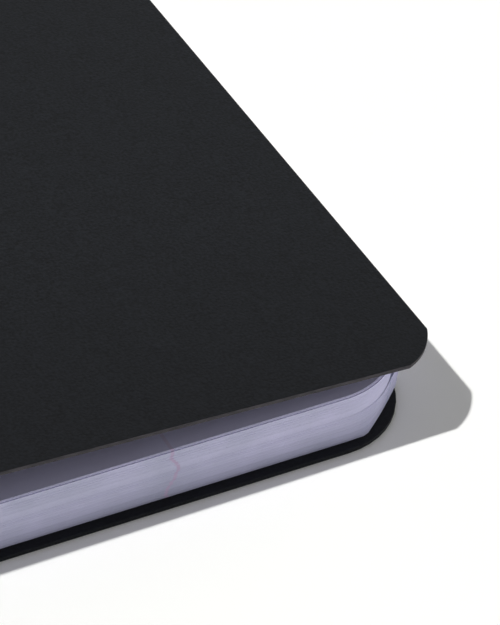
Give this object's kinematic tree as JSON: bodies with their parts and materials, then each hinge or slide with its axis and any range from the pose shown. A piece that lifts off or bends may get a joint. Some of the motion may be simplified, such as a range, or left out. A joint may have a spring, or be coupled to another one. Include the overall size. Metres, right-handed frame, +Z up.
{
  "type": "ring binder notebook",
  "caption": "Slim loose-leaf notebook: black creased plastic case with rounded corners, ruled leaves and split rings that open together.",
  "frame": {"origin": "middle of the notebook's footprint, on the surface that it lies on", "axes": "X from the spine to the fore edge, Y from the foot of the page to its head, Z up through the front cover"},
  "size_m": [0.1606, 0.212, 0.0165],
  "materials": {
    "case_sheet": "extruded polypropylene sheet, fine sand-grained matt face, die-cut edges, pressed creases",
    "leaves": "uncoated writing paper, guillotined and round-cornered, faint ruling with a thin reddish margin line",
    "ring_wire": "drawn steel wire, bent, bright nickel plated",
    "plated_steel": "pressed steel strip, bright nickel plated",
    "blade_steel": "spring steel strip as blanked"
  },
  "bodies": {
    "case_rear": {"rear_cover": "case_sheet", "page_block": "leaves", "cover_plate": "plated_steel", "rivet_1": "plated_steel", "rivet_2": "plated_steel"},
    "case_spine": {"spine": "case_sheet"},
    "case_front": {"front_cover": "case_sheet"},
    "rings_left": {"blade_left": "blade_steel", "ring_left_1": "ring_wire", "ring_left_2": "ring_wire", "ring_left_3": "ring_wire", "ring_left_4": "ring_wire", "ring_left_5": "ring_wire", "ring_left_6": "ring_wire"},
    "rings_right": {"blade_right": "blade_steel", "ring_right_1": "ring_wire", "ring_right_2": "ring_wire", "ring_right_3": "ring_wire", "ring_right_4": "ring_wire", "ring_right_5": "ring_wire", "ring_right_6": "ring_wire"}
  },
  "joints": [
    {"name": "spine_fold", "type": "hinge", "parent": "case_rear", "child": "case_spine", "pos_m": [-0.08003, 0, 0.00025], "axis": [0, -1, 0], "range_deg": [0, 90]},
    {"name": "cover_fold", "type": "hinge", "parent": "case_spine", "child": "case_front", "pos_m": [-0.08003, 0, 0.01629], "axis": [0, -1, 0], "range_deg": [0, 92.6]},
    {"name": "rings_right_open", "type": "hinge", "parent": "case_rear", "child": "rings_right", "pos_m": [-0.06259, 0, 0.00175], "axis": [0, 1, 0], "range_deg": [0, 12]},
    {"name": "rings_left_open", "type": "hinge", "parent": "case_rear", "child": "rings_left", "pos_m": [-0.07579, 0, 0.00175], "axis": [0, -1, 0], "range_deg": [0, 12]}
  ],
  "couplings": [
    {"joint": "rings_left_open", "follows": "rings_right_open", "ratio": 1}
  ]
}
